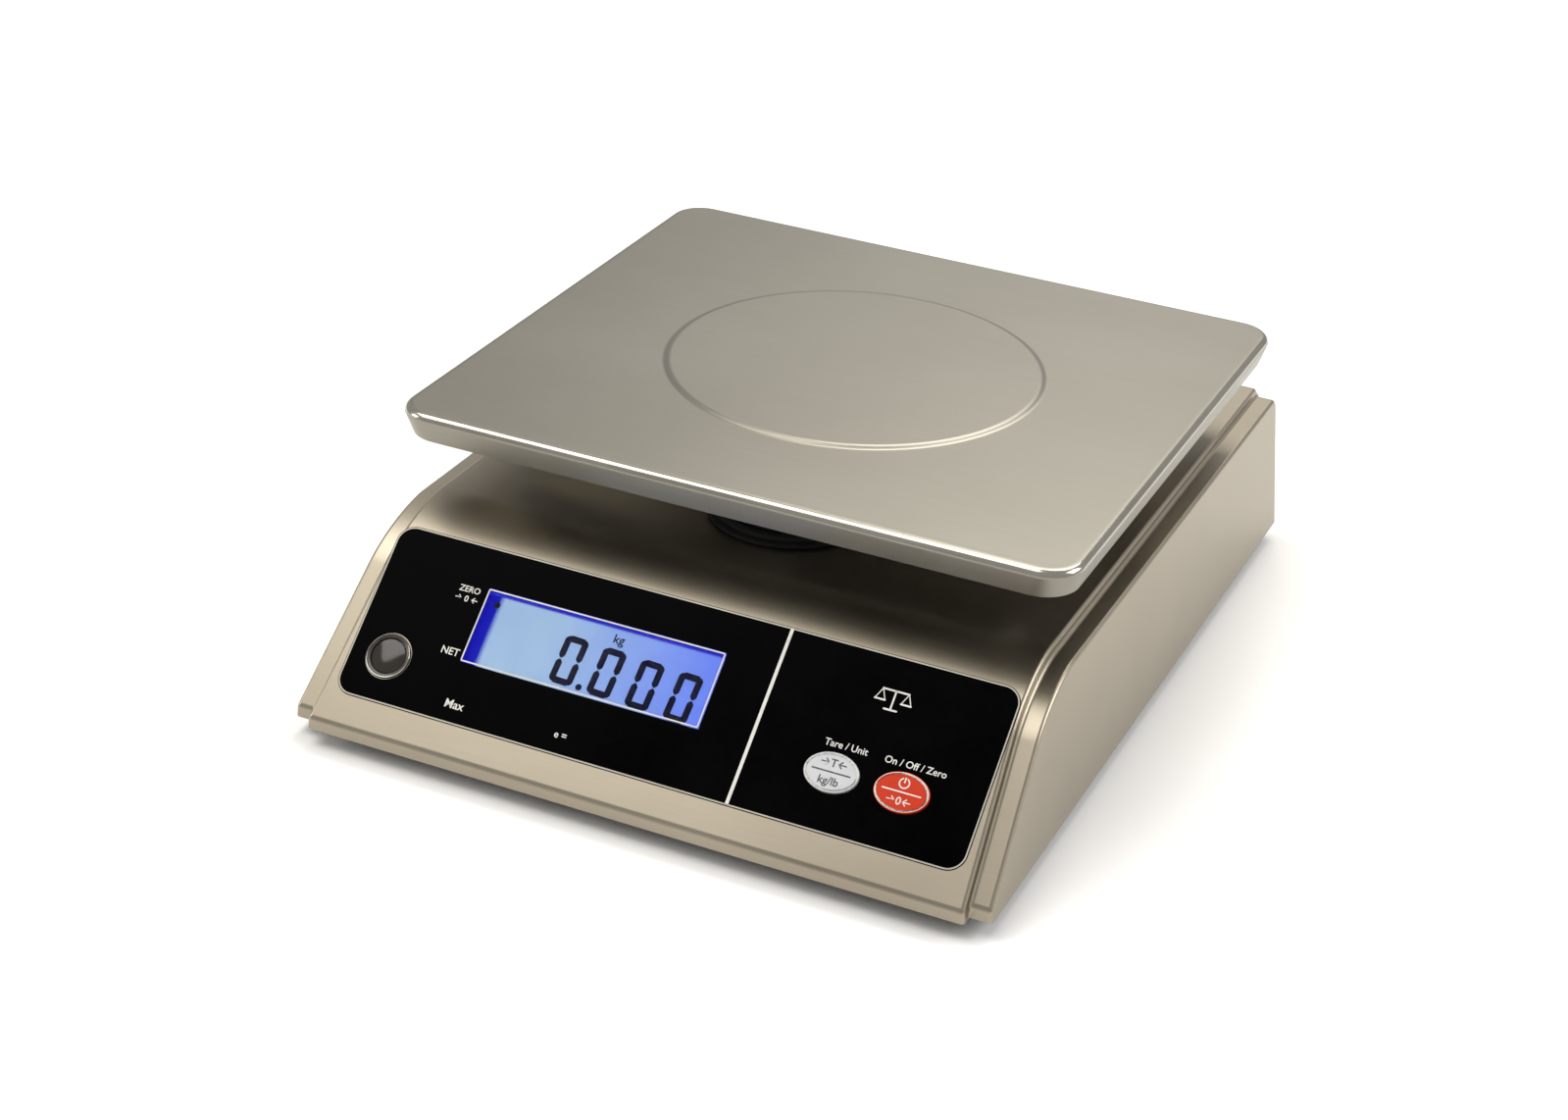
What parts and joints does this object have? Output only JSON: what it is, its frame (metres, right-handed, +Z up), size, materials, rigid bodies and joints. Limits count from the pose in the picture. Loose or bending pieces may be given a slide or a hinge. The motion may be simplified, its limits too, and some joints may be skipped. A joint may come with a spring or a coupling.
{
  "type": "bench weighing scale",
  "caption": "Low wedge-shaped bench scale: stainless pan with a raised disc over a nickel-coloured housing, sloped black control face with a blue backlit display, keys and a level window.",
  "frame": {"origin": "on the surface the feet stand on, under the middle of the scale", "axes": "+Z up, -Y towards the user and the control face, +X to the user's right"},
  "size_m": [0.2366, 0.296, 0.0928],
  "materials": {
    "housing_metal": "satin nickel-coloured metal, brushed across",
    "pan_metal": "satin stainless with polished edges",
    "cast_aluminium": "as cast",
    "cell_aluminium": "machined",
    "spacer_steel": "machined",
    "fastener_steel": "zinc plated",
    "black_rubber": "matte",
    "panel_film": "glossy black film with a thin pale outline",
    "display_window": "clear, over a lit blue display",
    "lcd": "blue backlit display",
    "circuit_board": "green solder mask",
    "silver_key": "silver-grey",
    "red_key": "red-orange",
    "level_glass": "dark amber",
    "level_body": "dark",
    "bezel_chrome": "polished",
    "battery_wrap": "shrink wrap",
    "base_plastic": "fine texture",
    "black_plastic": "moulded"
  },
  "bodies": {
    "base": {"top_housing": "housing_metal", "base_tray": "base_plastic", "control_panel": "panel_film", "display_window": "display_window", "lcd_module": "lcd", "display_board": "circuit_board", "tare_switch": "black_plastic", "power_switch": "black_plastic", "level_bezel": "bezel_chrome", "level_lens": "level_glass", "level_vial": "level_body", "main_board": "circuit_board", "dc_socket": "black_plastic", "battery_pack": "battery_wrap", "load_cell": "cell_aluminium", "load_cell_lower_spacer": "spacer_steel", "lower_bolt_1": "fastener_steel", "lower_bolt_2": "fastener_steel", "overload_stop_screw": "fastener_steel", "neck_seal": "black_rubber", "housing_screw_front_left": "fastener_steel", "housing_screw_front_right": "fastener_steel", "housing_screw_back_left": "fastener_steel", "housing_screw_back_right": "fastener_steel"},
    "weighing_carrier": {"platter_carrier": "cast_aluminium", "load_cell_upper_spacer": "spacer_steel", "upper_bolt_1": "fastener_steel", "upper_bolt_2": "fastener_steel", "platter_pad_front_left": "black_rubber", "platter_pad_front_right": "black_rubber", "platter_pad_back_left": "black_rubber", "platter_pad_back_right": "black_rubber"},
    "pan": {"platter": "pan_metal"},
    "tare_key": {"tare_key": "silver_key"},
    "power_key": {"power_key": "red_key"},
    "battery_door": {"battery_door": "base_plastic"},
    "foot_pad_front_left": {"foot_pad_front_left": "black_rubber"},
    "foot_stud_front_left": {"foot_stud_front_left": "fastener_steel"},
    "foot_pad_front_right": {"foot_pad_front_right": "black_rubber"},
    "foot_stud_front_right": {"foot_stud_front_right": "fastener_steel"},
    "foot_pad_back_left": {"foot_pad_back_left": "black_rubber"},
    "foot_stud_back_left": {"foot_stud_back_left": "fastener_steel"},
    "foot_pad_back_right": {"foot_pad_back_right": "black_rubber"},
    "foot_stud_back_right": {"foot_stud_back_right": "fastener_steel"}
  },
  "joints": [
    {"name": "load_cell_bend", "type": "slide", "parent": "base", "child": "weighing_carrier", "axis": [0, 0, -1], "range_m": [0, 0.0004], "stiffness_N_per_m": 40000, "springref_m": -0.0003},
    {"name": "pan_lift_off", "type": "slide", "parent": "weighing_carrier", "child": "pan", "axis": [0, 0, 1], "range_m": [0, 0.06]},
    {"name": "tare_key_press", "type": "slide", "parent": "base", "child": "tare_key", "axis": [0, 0.6691, -0.7431], "range_m": [0, 0.0005], "stiffness_N_per_m": 1500, "springref_m": -0.0005},
    {"name": "power_key_press", "type": "slide", "parent": "base", "child": "power_key", "axis": [0, 0.6691, -0.7431], "range_m": [0, 0.0005], "stiffness_N_per_m": 1500, "springref_m": -0.0005},
    {"name": "battery_door_slide", "type": "slide", "parent": "base", "child": "battery_door", "axis": [0, -1, 0], "range_m": [0, 0.078]},
    {"name": "foot_height_front_left", "type": "slide", "parent": "base", "child": "foot_pad_front_left", "axis": [0, 0, -1], "range_m": [0, 0.003]},
    {"name": "foot_turn_front_left", "type": "hinge", "parent": "foot_pad_front_left", "child": "foot_stud_front_left", "pos_m": [-0.098, -0.121, 0.004], "axis": [0, 0, -1], "range_deg": [0, 1081]},
    {"name": "foot_height_front_right", "type": "slide", "parent": "base", "child": "foot_pad_front_right", "axis": [0, 0, -1], "range_m": [0, 0.003]},
    {"name": "foot_turn_front_right", "type": "hinge", "parent": "foot_pad_front_right", "child": "foot_stud_front_right", "pos_m": [0.098, -0.121, 0.004], "axis": [0, 0, -1], "range_deg": [0, 1081]},
    {"name": "foot_height_back_left", "type": "slide", "parent": "base", "child": "foot_pad_back_left", "axis": [0, 0, -1], "range_m": [0, 0.003]},
    {"name": "foot_turn_back_left", "type": "hinge", "parent": "foot_pad_back_left", "child": "foot_stud_back_left", "pos_m": [-0.098, 0.121, 0.004], "axis": [0, 0, -1], "range_deg": [0, 1081]},
    {"name": "foot_height_back_right", "type": "slide", "parent": "base", "child": "foot_pad_back_right", "axis": [0, 0, -1], "range_m": [0, 0.003]},
    {"name": "foot_turn_back_right", "type": "hinge", "parent": "foot_pad_back_right", "child": "foot_stud_back_right", "pos_m": [0.098, 0.121, 0.004], "axis": [0, 0, -1], "range_deg": [0, 1081]}
  ],
  "couplings": [
    {"joint": "foot_turn_front_left", "follows": "foot_height_front_left", "rad_per_m": 6283.2},
    {"joint": "foot_turn_front_right", "follows": "foot_height_front_right", "rad_per_m": 6283.2},
    {"joint": "foot_turn_back_left", "follows": "foot_height_back_left", "rad_per_m": 6283.2},
    {"joint": "foot_turn_back_right", "follows": "foot_height_back_right", "rad_per_m": 6283.2}
  ]
}
